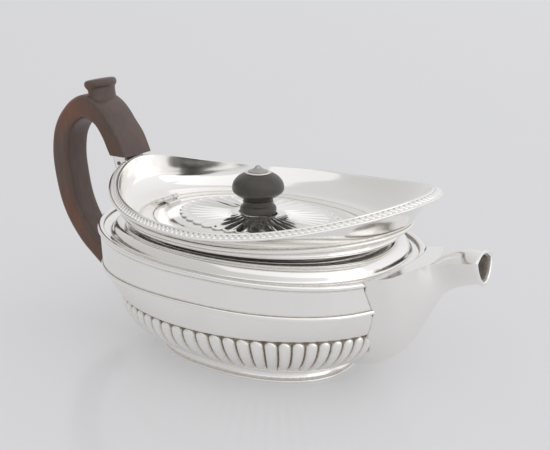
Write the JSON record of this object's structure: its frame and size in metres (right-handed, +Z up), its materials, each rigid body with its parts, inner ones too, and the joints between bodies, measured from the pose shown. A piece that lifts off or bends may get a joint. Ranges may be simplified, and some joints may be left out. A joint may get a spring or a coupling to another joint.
{
  "type": "teapot",
  "caption": "Oval silver teapot with lobed lower body, flared gadrooned cape, hinged lid with fluted patera, leaf-sided spout, and wooden handle and knob.",
  "frame": {"origin": "middle of the oval foot at the level of its lower edge, on the surface the pot stands on", "axes": "+X toward the spout, +Z up, +Y to the left of the spout; the knob's axis is the Z axis"},
  "size_m": [0.2614, 0.143, 0.1335],
  "materials": {
    "silver": "polished silver sheet",
    "bright_silver": "polished silver wire and ornament",
    "fittings": "polished silver pins and fasteners",
    "wood": "dark oiled hardwood"
  },
  "bodies": {
    "pot": {"foot_ring": "silver", "base_plate": "silver", "lobed_bowl": "silver", "lower_wire": "bright_silver", "frieze_band": "silver", "upper_wire": "bright_silver", "shoulder": "silver", "throat_band": "silver", "neck_moulding": "bright_silver", "cape": "silver", "cape_border": "bright_silver", "lid_seat": "silver", "spout": "silver", "spout_lip": "bright_silver", "upper_socket": "silver", "lower_socket": "silver", "upper_pin": "fittings", "lower_pin": "fittings", "handle": "wood", "hinge_knuckles": "silver", "hinge_pin": "fittings"},
    "lid": {"lid_plate": "silver", "patera": "bright_silver", "lid_bezel": "silver", "lid_knuckle": "silver", "knob_collar": "fittings", "knob": "wood", "knob_washer": "fittings", "finial_nut": "fittings", "knob_bolt": "fittings", "bolt_washer": "fittings"}
  },
  "joints": [
    {"name": "lid_hinge", "type": "hinge", "parent": "pot", "child": "lid", "pos_m": [-0.0601, 0, 0.0715], "axis": [0, -1, 0], "range_deg": [0, 90]}
  ]
}
